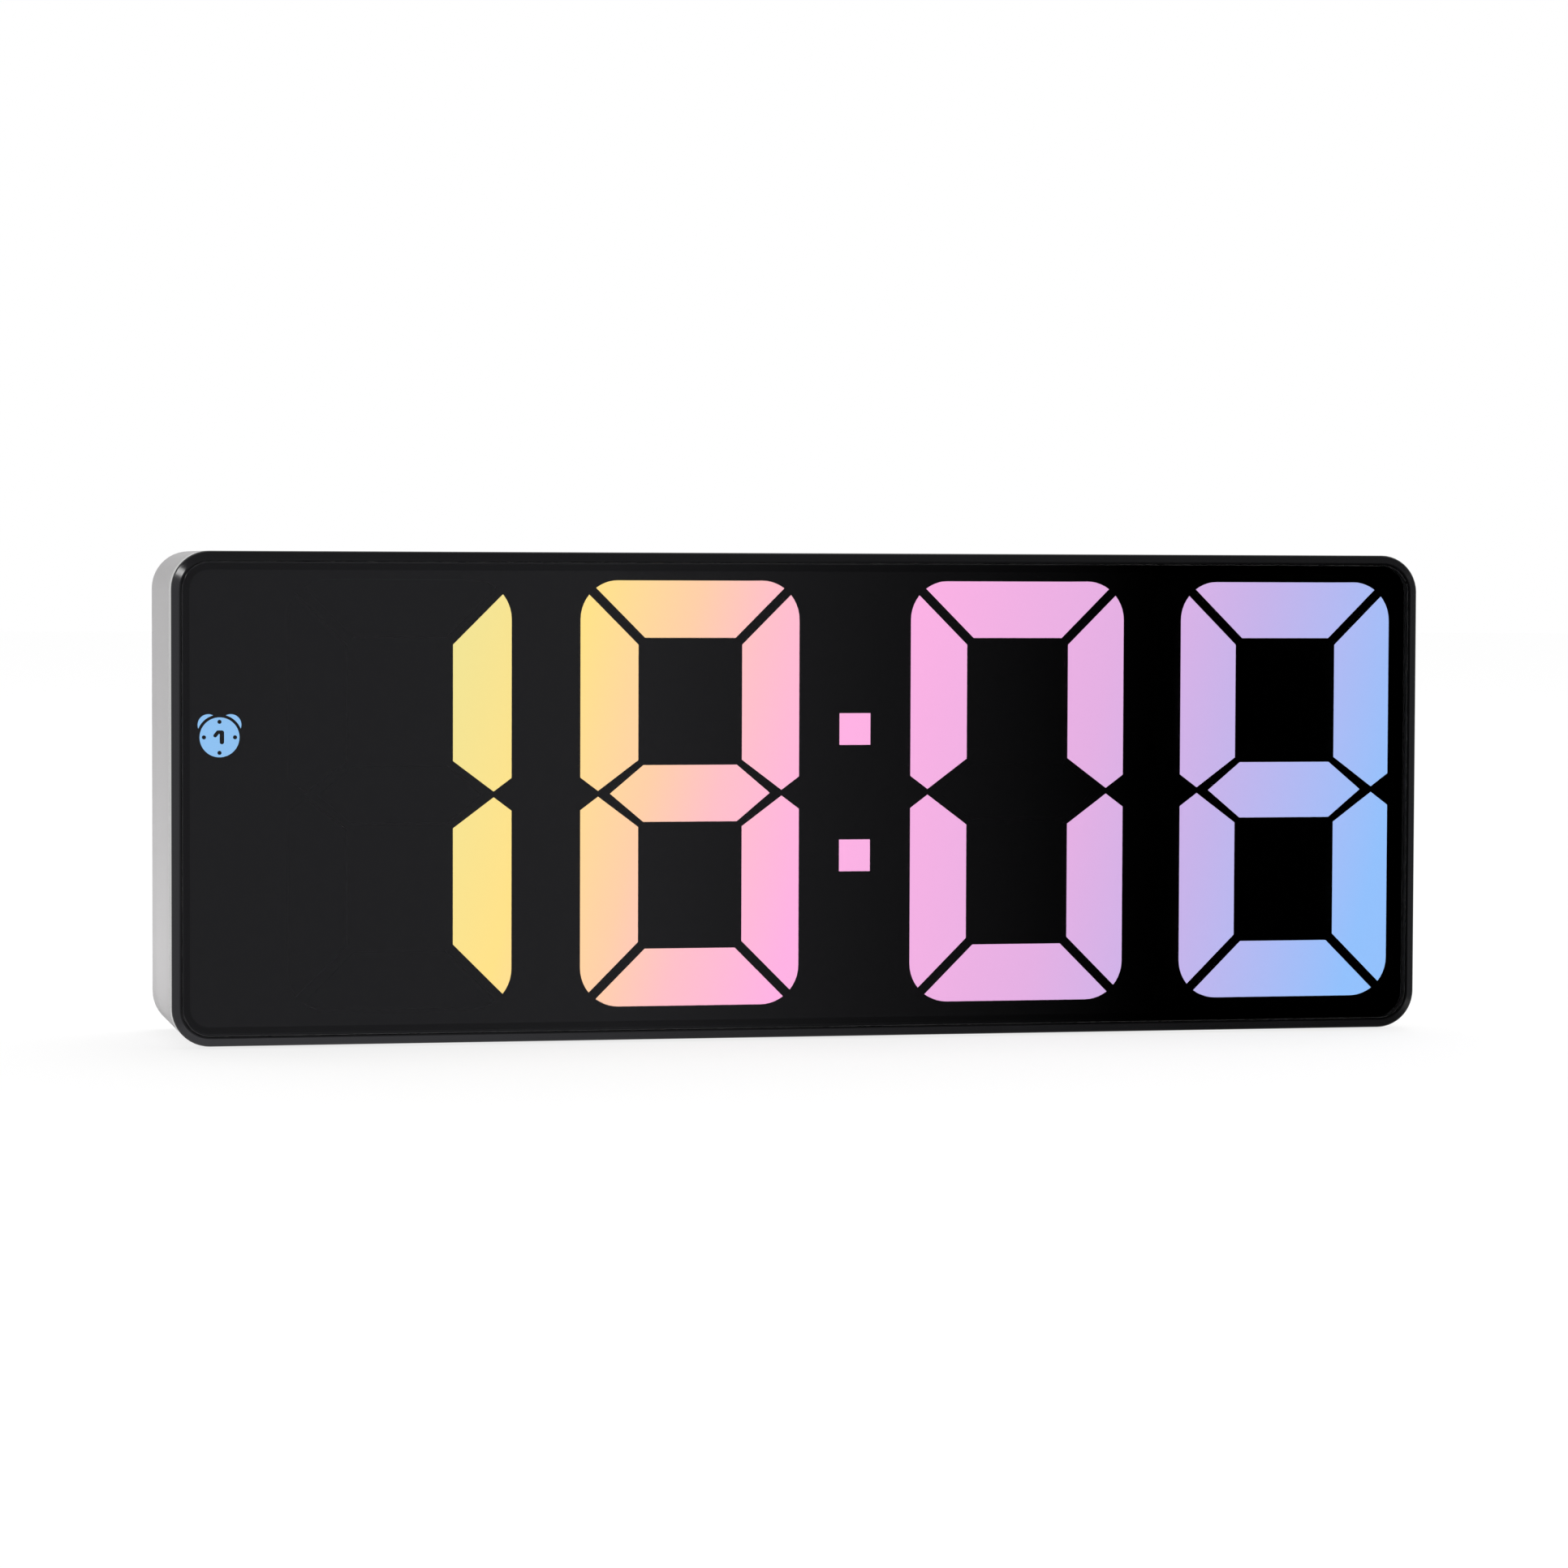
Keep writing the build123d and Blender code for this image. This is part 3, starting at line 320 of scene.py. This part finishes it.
def smoked_sheet(name, colour):
    """Polished smoked sheet with the faint haze of wiped dust."""
    finish = Finish(name)
    haze = finish.noise(0.02, 4.0)
    return finish.surface(
        Base_Color=toned(colour, 1.0),
        Roughness=haze * 0.02,
        IOR=1.49,
        Transmission_Weight=1.0,
    )


def drawn_metal(name, colour, roughness, stretch):
    """Plated metal with the fine lines of drawing or rolling."""
    finish = Finish(name)
    lines = finish.noise(0.0012, 4.0, stretch)
    stain = finish.noise(0.004)
    return finish.surface(
        Base_Color=finish.between(stain, toned(colour, 0.88), toned(colour, 1.06)),
        Metallic=1.0,
        Roughness=roughness + (lines - 0.5) * 0.25,
        Normal=finish.bump(lines, 0.006 * MM),
    )


def dull_rubber(name, colour):
    """Soft rubber with a dusty skin."""
    finish = Finish(name)
    dust = finish.noise(0.0012, 4.0)
    return finish.surface(
        Base_Color=finish.between(dust, toned(colour, 0.7), toned(colour, 1.6)),
        Roughness=0.85 + (dust - 0.5) * 0.15,
        Normal=finish.bump(dust, 0.03 * MM),
    )


def lacquered_board(name, colour):
    """Circuit board: green lacquer, with copper runs that show through as paler lines."""
    finish = Finish(name)
    turned = finish.add(
        "ShaderNodeMapping", None, {"Vector": finish.place, "Rotation": (math.pi / 2, 0.0, 0.0)}
    )
    runs = finish.add(
        "ShaderNodeTexBrick",
        {"offset": 0.4, "squash": 0.7},
        {"Vector": turned, "Scale": 160.0, "Mortar Size": 0.06, "Mortar Smooth": 0.2},
        out="Fac",
    )
    cloud = finish.noise(0.01, 3.0)
    lacquer = finish.between(cloud, toned(colour, 0.85), toned(colour, 1.1))
    return finish.surface(
        Base_Color=finish.between(runs * 0.7, lacquer, toned(colour, 1.9)),
        Roughness=0.35 + (cloud - 0.5) * 0.15,
        Normal=finish.bump(runs, 0.03 * MM),
    )


def lit_film(name, glow, mask):
    """Lit diffuser film: its tone changes along the slanted line across the whole display. Its surface takes
    the mask's black, painted shade standing in for the dark behind the smoked lens.
    """
    finish = Finish(name)
    lean = Vector((math.cos(glow.slant), 0.0, -math.sin(glow.slant)))
    middle = sum(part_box("display_mask"), Vector()) / 2
    along = finish.add(
        "ShaderNodeVectorMath",
        {"operation": "DOT_PRODUCT"},
        {0: finish.place, 1: lean},
        out="Value",
    )
    share = (along - (middle.dot(lean) + glow.left_end)) / (glow.right_end - glow.left_end)
    places = (0.0, 0.125, 0.23, 0.30, 0.41, 0.66, 0.80, 0.985)
    tones = [(*getattr(glow, f"tone_{number}"), 1.0) for number in range(1, 9)]
    ramp = finish.add("ShaderNodeValToRGB", {"stops": list(zip(places, tones))}, {"Fac": share})
    return finish.surface(
        # Painted shade: the film's surface is the mask's black, for the dark behind the smoked lens.
        Base_Color=toned(mask, 1.0),
        Roughness=0.5 + (finish.noise(0.0008) - 0.5) * 0.1,
        Specular_IOR_Level=0.02,
        Emission_Color=ramp,
        Emission_Strength=glow.strength,
    )


def lit_icon_film(name, glow, mask):
    """Lit film of the pictogram, its glow a touch paler and darker in soft random clouds. Its surface takes
    the mask's black, painted shade standing in for the dark behind the smoked lens.
    """
    finish = Finish(name)
    cloud = finish.noise(0.004)
    return finish.surface(
        # Painted shade: the film's surface is the mask's black, for the dark behind the smoked lens.
        Base_Color=toned(mask, 1.0),
        Roughness=0.5,
        Specular_IOR_Level=0.02,
        Emission_Color=finish.between(cloud, toned(glow.icon, 0.96), toned(glow.icon, 1.04)),
        Emission_Strength=glow.strength,
    )


def dress(material, *names):
    """Give a finish to CAD nodes."""
    for name in names:
        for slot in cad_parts[name].material_slots:
            slot.material = material


class BackMark:
    """Flat shapes drawn as seen from behind, then thickened and set on a face that looks to the back."""

    def __init__(self):
        self.bm = bmesh.new()

    def plate(self, points, rounding=0.0):
        """A face through a few points, its corners rounded."""
        corners = [self.bm.verts.new((-across, 0.0, up)) for across, up in points]
        self.bm.faces.new(corners)
        if rounding:
            bmesh.ops.bevel(
                self.bm,
                geom=corners,
                offset=rounding,
                segments=4,
                profile=0.5,
                affect="VERTICES",
                material=-1,
            )

    def block(self, width, height, across, up, rounding=0.0):
        """A rectangle about a point."""
        half_wide, half_tall = width / 2, height / 2
        self.plate(
            [
                (across - half_wide, up - half_tall),
                (across + half_wide, up - half_tall),
                (across + half_wide, up + half_tall),
                (across - half_wide, up + half_tall),
            ],
            rounding,
        )

    def circle(self, radius, across, up, filled):
        """A circle about a point, filled or left as a rim; gives its vertices."""
        turn = Matrix.Translation((-across, 0.0, up)) @ Matrix.Rotation(math.pi / 2, 4, "X")
        return bmesh.ops.create_circle(
            self.bm, cap_ends=filled, radius=radius, segments=32, matrix=turn
        )["verts"]

    def ring(self, outer, inner, across, up):
        """A flat ring about a point."""
        rims = self.circle(outer, across, up, False) + self.circle(inner, across, up, False)
        edges = dict.fromkeys(edge for vert in rims for edge in vert.link_edges)
        bmesh.ops.bridge_loops(self.bm, edges=list(edges))

    def make(self, name, place, root, proud, body, slot, material):
        """Thicken the shapes, set them at a place and hand the piece to its body."""
        raised = bmesh.ops.extrude_face_region(self.bm, geom=self.bm.faces[:])
        top = [part for part in raised["geom"] if isinstance(part, bmesh.types.BMVert)]
        bmesh.ops.translate(self.bm, verts=top, vec=(0.0, root + proud, 0.0))
        bmesh.ops.translate(self.bm, verts=self.bm.verts, vec=Vector(place) - Vector((0.0, root, 0.0)))
        bmesh.ops.recalc_face_normals(self.bm, faces=self.bm.faces)
        mesh = bpy.data.meshes.new(name)
        self.bm.to_mesh(mesh)
        self.bm.free()
        mesh.materials.append(material)
        piece = bpy.data.objects.new(name, mesh)
        bpy.context.scene.collection.objects.link(piece)
        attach(piece, body)


def back_face(node):
    """Middle of a node's face that looks to the back."""
    low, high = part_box(node)
    return Vector(((low.x + high.x) / 2, high.y, (low.z + high.z) / 2))


def scaled(points, size):
    return [(across * size, up * size) for across, up in points]


class CLOCK_OT_finish_housing(bpy.types.Operator):
    """Give the housing, the battery door and the buttons their textured mouldings"""

    bl_idname = "clock.finish_housing"
    bl_label = "Finish Housing"

    def execute(self, context):
        colours, sizes = context.scene.clock_colours, context.scene.clock_sizes
        housing = textured_moulding(
            "textured grey housing", colours.housing, sizes.grain, sizes.grain_depth, 0.52
        )
        caps = textured_moulding(
            "satin grey caps", colours.buttons, sizes.grain * 0.6, sizes.grain_depth * 0.4, 0.42
        )
        dress(housing, "rear_housing", "battery_door")
        dress(caps, *(f"{name}_button" for name in BUTTONS))
        return {"FINISHED"}


class CLOCK_OT_finish_front(bpy.types.Operator):
    """Give the frame, the lens and the black layers behind it their finishes"""

    bl_idname = "clock.finish_front"
    bl_label = "Finish Front"

    def execute(self, context):
        colours = context.scene.clock_colours
        dress(polished_moulding("satin black frame", colours.front, 0.16), "front_frame")
        dress(smoked_sheet("smoked lens sheet", colours.lens), "front_lens")
        dress(polished_moulding("glossy black film", colours.mask, 0.06), "lens_tape")
        dress(
            printed_film("black print and painted shade", colours.mask, 0.02),
            "display_mask",
            # The unlit bar films take this black as painted shade for the dark behind the smoked lens; the
            # mask and the pictogram marks are real black print.
            "dark_bar_diffusers",
            "alarm_icon_marks",
        )
        return {"FINISHED"}


class CLOCK_OT_light_display(bpy.types.Operator):
    """Light the bars, the colon and the alarm pictogram"""

    bl_idname = "clock.light_display"
    bl_label = "Light Display"

    def execute(self, context):
        glow, mask = context.scene.clock_glow, context.scene.clock_colours.mask
        dress(lit_film("lit bar film", glow, mask), "lit_bar_diffusers", "colon_diffusers")
        dress(lit_icon_film("lit pictogram film", glow, mask), "alarm_icon_diffuser")
        return {"FINISHED"}


class CLOCK_OT_finish_inside(bpy.types.Operator):
    """Finish the reflector, the boards and what stands on them"""

    bl_idname = "clock.finish_inside"
    bl_label = "Finish Inside"

    def execute(self, context):
        colours = context.scene.clock_colours
        black = srgb(30, 30, 32)
        dress(plain_moulding("white reflector moulding", colours.reflector, 0.45), "reflector_block")
        dress(lacquered_board("green board lacquer", colours.board), "display_board", "key_board")
        dress(polished_moulding("cast lamp resin", srgb(238, 228, 176), 0.25), "bar_leds")
        dress(
            plain_moulding("black chip moulding", black, 0.6),
            "controller_chip",
            "chip_resistors",
            "board_header",
            "key_switches",
            *(f"{name}_plunger" for name in BUTTONS),
        )
        dress(polished_moulding("black sounder case", black, 0.3), "buzzer")
        dress(
            drawn_metal("drawn aluminium can", srgb(205, 206, 210), 0.32, (1.0, 0.05, 1.0)),
            "clock_crystal",
            "smoothing_capacitor",
        )
        return {"FINISHED"}


class CLOCK_OT_finish_hardware(bpy.types.Operator):
    """Finish the screws, contacts, springs, inlet and feet"""

    bl_idname = "clock.finish_hardware"
    bl_label = "Finish Hardware"

    def execute(self, context):
        colours = context.scene.clock_colours
        dress(
            drawn_metal("zinc plated screws", colours.zinc, 0.38, (1.0, 1.0, 1.0)),
            "housing_screws",
            "board_screws",
            "key_board_screws",
        )
        dress(
            drawn_metal("nickel plated strip", colours.nickel, 0.3, (1.0, 1.0, 0.06)),
            "battery_contacts",
            "battery_springs",
        )
        dress(drawn_metal("nickel plated inlet", colours.nickel, 0.28, (1.0, 0.06, 1.0)), "usb_shell")
        dress(plain_moulding("black inlet moulding", srgb(26, 26, 28), 0.5), "usb_tongue")
        dress(dull_rubber("black foot rubber", colours.rubber), "rubber_feet")
        return {"FINISHED"}


class CLOCK_OT_print_button_marks(bpy.types.Operator):
    """Print a pictogram on each button cap"""

    bl_idname = "clock.print_button_marks"
    bl_label = "Print Button Marks"

    def execute(self, context):
        sizes = context.scene.clock_sizes
        ink = printed_film("dark grey print", context.scene.clock_colours.ink, 0.4)
        triangle = scaled([(-1.55, -1.05), (1.55, -1.05), (0.0, 1.35)], MM)
        bell = scaled(
            [
                (-1.5, -0.85),
                (1.5, -0.85),
                (1.05, -0.3),
                (0.9, 0.6),
                (0.4, 1.2),
                (-0.4, 1.2),
                (-0.9, 0.6),
                (-1.05, -0.3),
            ],
            MM,
        )
        marks = {name: BackMark() for name in BUTTONS}
        for up in (-1.05, 0.0, 1.05):
            marks["mode"].block(3.0 * MM, 0.5 * MM, 0.0, up * MM, 0.2 * MM)
        marks["set"].ring(1.6 * MM, 1.2 * MM, 0.0, 0.0)
        marks["set"].plate(
            scaled([(-0.2, -0.2), (0.8, -0.2), (0.8, 0.17), (0.17, 0.17), (0.17, 0.95), (-0.2, 0.95)], MM),
            0.08 * MM,
        )
        marks["up"].plate(triangle, 0.2 * MM)
        marks["down"].plate([(-across, -up) for across, up in triangle], 0.2 * MM)
        marks["alarm"].plate(bell, 0.18 * MM)
        marks["alarm"].circle(0.4 * MM, 0.0, -1.3 * MM, True)
        for name, mark in marks.items():
            mark.make(
                f"{name}_button_mark",
                back_face(f"{name}_button"),
                sizes.mark_root,
                sizes.print_proud,
                f"{name}_key",
                "button_plastic",
                ink,
            )
        return {"FINISHED"}


class CLOCK_OT_mould_bay_marks(bpy.types.Operator):
    """Mould the outline of each cell and its polarity on the floor of the battery bay"""

    bl_idname = "clock.mould_bay_marks"
    bl_label = "Mould Bay Marks"

    SPRING_RADIUS = 3.45 * MM
    CORNER = 1.0 * MM
    NUB_LENGTH = 1.4 * MM
    NUB_WIDTH = 3.2 * MM
    SIGN = 3.2 * MM
    SIGN_LINE = 0.7 * MM
    SIGN_PLACE = 14.0 * MM
    # Which way each cell's plus end points, from the top row down
    PLUS_ENDS = ((1, -1), (0, 1), (-1, -1))

    def execute(self, context):
        sizes = context.scene.clock_sizes
        smooth = polished_moulding("smooth grey marks", context.scene.clock_colours.marks, 0.25)
        low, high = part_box("battery_contacts")
        middle_x = (low.x + high.x) / 2
        spring_low, spring_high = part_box("battery_springs")
        pitch = (spring_high.z - spring_low.z) / 2 - self.SPRING_RADIUS
        middle_z = (spring_low.z + spring_high.z) / 2
        arm = (self.SIGN - self.SIGN_LINE) / 2
        for row, plus_end in self.PLUS_ENDS:
            mark = BackMark()
            mark.block(sizes.cell_length, sizes.cell_width, 0.0, 0.0, self.CORNER)
            inner = bmesh.ops.inset_region(
                mark.bm,
                faces=mark.bm.faces[:],
                use_boundary=True,
                use_even_offset=True,
                thickness=sizes.outline,
            )
            rim = set(inner["faces"])
            bmesh.ops.delete(
                mark.bm, geom=[face for face in mark.bm.faces if face not in rim], context="FACES_ONLY"
            )
            nub = plus_end * (sizes.cell_length + self.NUB_LENGTH) / 2
            mark.block(self.NUB_LENGTH, self.NUB_WIDTH, nub, 0.0)
            plus = plus_end * self.SIGN_PLACE
            mark.block(self.SIGN, self.SIGN_LINE, plus, 0.0)
            for side in (1, -1):
                mark.block(self.SIGN_LINE, arm, plus, side * (self.SIGN_LINE + arm) / 2)
            mark.block(self.SIGN, self.SIGN_LINE, -plus, 0.0)
            mark.make(
                f"bay_mark_{2 - row}",
                (middle_x, BAY_FLOOR, middle_z + row * pitch),
                sizes.mark_root,
                sizes.mould_proud,
                "case",
                "grey_plastic",
                smooth,
            )
        return {"FINISHED"}


class CLOCK_OT_mould_door_mark(bpy.types.Operator):
    """Mould a small triangle under the door's thumb patch"""

    bl_idname = "clock.mould_door_mark"
    bl_label = "Mould Door Mark"

    def execute(self, context):
        sizes = context.scene.clock_sizes
        low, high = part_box("battery_door")
        mark = BackMark()
        mark.plate(scaled([(-2.2, -1.4), (2.2, -1.4), (0.0, 1.6)], MM), 0.3 * MM)
        mark.make(
            "door_mark",
            ((low.x + high.x) / 2, high.y, high.z - 11.5 * MM),
            sizes.mark_root,
            sizes.mould_proud,
            "door",
            "door_plastic",
            bpy.data.materials["smooth grey marks"],
        )
        return {"FINISHED"}


class CLOCK_OT_print_inlet_mark(bpy.types.Operator):
    """Print the direct-current sign under the power inlet"""

    bl_idname = "clock.print_inlet_mark"
    bl_label = "Print Inlet Mark"

    def execute(self, context):
        sizes = context.scene.clock_sizes
        low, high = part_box("usb_shell")
        back_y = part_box("rear_housing")[1].y
        mark = BackMark()
        mark.block(4.2 * MM, 0.4 * MM, 0.0, 0.5 * MM)
        for across in (-1.55, 0.0, 1.55):
            mark.block(1.1 * MM, 0.4 * MM, across * MM, -0.5 * MM)
        mark.make(
            "inlet_mark",
            ((low.x + high.x) / 2, back_y, low.z - 3.0 * MM),
            sizes.mark_root,
            sizes.print_proud,
            "case",
            "grey_plastic",
            bpy.data.materials["dark grey print"],
        )
        return {"FINISHED"}


class CLOCK_OT_set_stage(bpy.types.Operator):
    """Set the pale floor, the cards, the white surroundings, the soft lamps and the camera"""

    bl_idname = "clock.set_stage"
    bl_label = "Set Stage"

    def sheet(self, name, corners, material):
        """A flat sheet of the stage."""
        bm = bmesh.new()
        bm.faces.new([bm.verts.new(corner) for corner in corners])
        mesh = bpy.data.meshes.new(name)
        bm.to_mesh(mesh)
        bm.free()
        mesh.materials.append(material)
        sheet = bpy.data.objects.new(name, mesh)
        bpy.context.scene.collection.objects.link(sheet)
        return sheet

    def floor(self):
        """Pale floor that takes a soft shadow and is left out of the gloss of the front."""
        finish = Finish("pale floor paper")
        fibre = finish.noise(0.004, 3.0)
        tone = finish.between(fibre, toned(WHITE, 0.90), toned(WHITE, 0.94))
        paper = finish.add("ShaderNodeBsdfDiffuse", None, {"Color": tone})
        shade = finish.add("ShaderNodeBsdfDiffuse", None, {"Color": toned(WHITE, 0.28)})
        white = finish.add("ShaderNodeEmission", None, {"Color": toned(WHITE, 1.0), "Strength": 0.80})
        seen = finish.add("ShaderNodeAddShader", None, {0: shade, 1: white})
        camera_ray = finish.add("ShaderNodeLightPath", out="Is Camera Ray")
        both = finish.add("ShaderNodeMixShader", None, {0: camera_ray, 1: paper, 2: seen})
        finish.add("ShaderNodeOutputMaterial", None, {"Surface": both})
        reach = FLOOR_REACH
        corners = [(-reach, -reach, 0), (reach, -reach, 0), (reach, reach, 0), (-reach, reach, 0)]
        floor = self.sheet("floor", corners, finish.material)
        floor.visible_glossy = False
        floor.visible_transmission = False

    def card(self, name, across, upwards, start, width, greys):
        """Upright card before the front that only gloss shows, its grey changing from left to right."""
        finish = Finish(name)
        along = finish.add(
            "ShaderNodeVectorMath",
            {"operation": "DOT_PRODUCT"},
            {0: finish.place, 1: (1.0, 0.0, 0.0)},
            out="Value",
        )
        stops = [(place, (grey, grey, grey * 1.08, 1.0)) for place, grey in greys]
        ramp = finish.add("ShaderNodeValToRGB", {"stops": stops}, {"Fac": (along - start) / width})
        light = finish.add("ShaderNodeEmission", None, {"Color": ramp, "Strength": 1.0})
        finish.add("ShaderNodeOutputMaterial", None, {"Surface": light})
        (left, right), (low, high), depth = across, upwards, -CARD_DISTANCE
        corners = [(left, depth, low), (right, depth, low), (right, depth, high), (left, depth, high)]
        card = self.sheet(name, corners, finish.material)
        card.visible_camera = False
        card.visible_diffuse = False
        card.visible_shadow = False

    def surroundings(self):
        """White to the eye and in gloss; as light, dim before the clock and bright above and behind it."""
        world = bpy.data.worlds.new("white studio")
        world.use_nodes = True
        nodes = Nodes(world.node_tree)
        camera, glossy, transmission = (
            nodes.add("ShaderNodeLightPath", out=f"Is {kind} Ray")
            for kind in ("Camera", "Glossy", "Transmission")
        )
        seen = camera + glossy + transmission
        behind = nodes.add(
            "ShaderNodeVectorMath",
            {"operation": "DOT_PRODUCT"},
            {0: nodes.add("ShaderNodeTexCoord", out="Generated"), 1: BRIGHT_WAY},
            out="Value",
        )
        white = toned(WHITE, 1.0)
        front = nodes.add("ShaderNodeBackground", None, {"Color": white, "Strength": DIM_FILL})
        rear = nodes.add("ShaderNodeBackground", None, {"Color": white, "Strength": BRIGHT_FILL})
        fill = nodes.add("ShaderNodeMixShader", None, {0: behind, 1: front, 2: rear})
        plain = nodes.add("ShaderNodeBackground", None, {"Color": white, "Strength": 1.0})
        both = nodes.add("ShaderNodeMixShader", None, {0: seen > 0.5, 1: fill, 2: plain})
        nodes.add("ShaderNodeOutputWorld", None, {"Surface": both})
        bpy.context.scene.world = world

    def lamp(self, name, place, aim, width, power, in_gloss):
        """Round soft lamp that the camera doesn't see."""
        light = bpy.data.lights.new(name, "AREA")
        light.shape = "DISK"
        light.size = width
        light.energy = power
        lamp = bpy.data.objects.new(name, light)
        lamp.location = place
        lamp.rotation_euler = (Vector(aim) - Vector(place)).to_track_quat("-Z", "Y").to_euler()
        lamp.visible_camera = False
        lamp.visible_glossy = in_gloss
        lamp.visible_transmission = in_gloss
        bpy.context.scene.collection.objects.link(lamp)

    def camera(self):
        """Camera at the place and angle of the photo's."""
        lens = bpy.data.cameras.new("photo camera")
        lens.lens = FOCAL_LENGTH
        lens.sensor_width = SENSOR_WIDTH
        camera = bpy.data.objects.new("photo camera", lens)
        camera.location = CAMERA_PLACE
        aim = Vector(CAMERA_AIM).to_track_quat("-Z", "Y")
        camera.rotation_euler = (aim @ Quaternion((0.0, 0.0, 1.0), CAMERA_ROLL)).to_euler()
        bpy.context.scene.collection.objects.link(camera)
        bpy.context.scene.camera = camera

    def execute(self, context):
        self.floor()
        for card in CARDS:
            self.card(*card)
        self.surroundings()
        for lamp in LAMPS:
            self.lamp(*lamp)
        self.camera()
        context.scene.view_settings.view_transform = "Standard"
        return {"FINISHED"}


OPERATORS = (
    CLOCK_OT_finish_housing,
    CLOCK_OT_finish_front,
    CLOCK_OT_light_display,
    CLOCK_OT_finish_inside,
    CLOCK_OT_finish_hardware,
    CLOCK_OT_print_button_marks,
    CLOCK_OT_mould_bay_marks,
    CLOCK_OT_mould_door_mark,
    CLOCK_OT_print_inlet_mark,
    CLOCK_OT_set_stage,
)


class CLOCK_PT_looks(bpy.types.Panel):
    """Colours, light and sizes of the clock, and the steps that use them"""

    bl_idname = "CLOCK_PT_looks"
    bl_label = "Desk Clock"
    bl_space_type = "VIEW_3D"
    bl_region_type = "UI"
    bl_category = "Desk Clock"

    def draw(self, context):
        for step in OPERATORS:
            self.layout.operator(step.bl_idname)
        for group in (context.scene.clock_colours, context.scene.clock_glow, context.scene.clock_sizes):
            box = self.layout.box()
            for name in group.__annotations__:
                box.prop(group, name)


GROUPS = {"clock_colours": ClockColours, "clock_glow": ClockGlow, "clock_sizes": ClockSizes}


def register():
    for name, group in GROUPS.items():
        bpy.utils.register_class(group)
        setattr(bpy.types.Scene, name, PointerProperty(type=group))
    for step in OPERATORS:
        bpy.utils.register_class(step)
    bpy.utils.register_class(CLOCK_PT_looks)


def unregister():
    bpy.utils.unregister_class(CLOCK_PT_looks)
    for step in reversed(OPERATORS):
        bpy.utils.unregister_class(step)
    for name, group in GROUPS.items():
        delattr(bpy.types.Scene, name)
        bpy.utils.unregister_class(group)


def main():
    register()
    bpy.ops.clock.finish_housing()
    bpy.ops.clock.finish_front()
    bpy.ops.clock.light_display()
    bpy.ops.clock.finish_inside()
    bpy.ops.clock.finish_hardware()
    bpy.ops.clock.print_button_marks()
    bpy.ops.clock.mould_bay_marks()
    bpy.ops.clock.mould_door_mark()
    bpy.ops.clock.print_inlet_mark()
    bpy.ops.clock.set_stage()


if __name__ == "__main__":
    main()
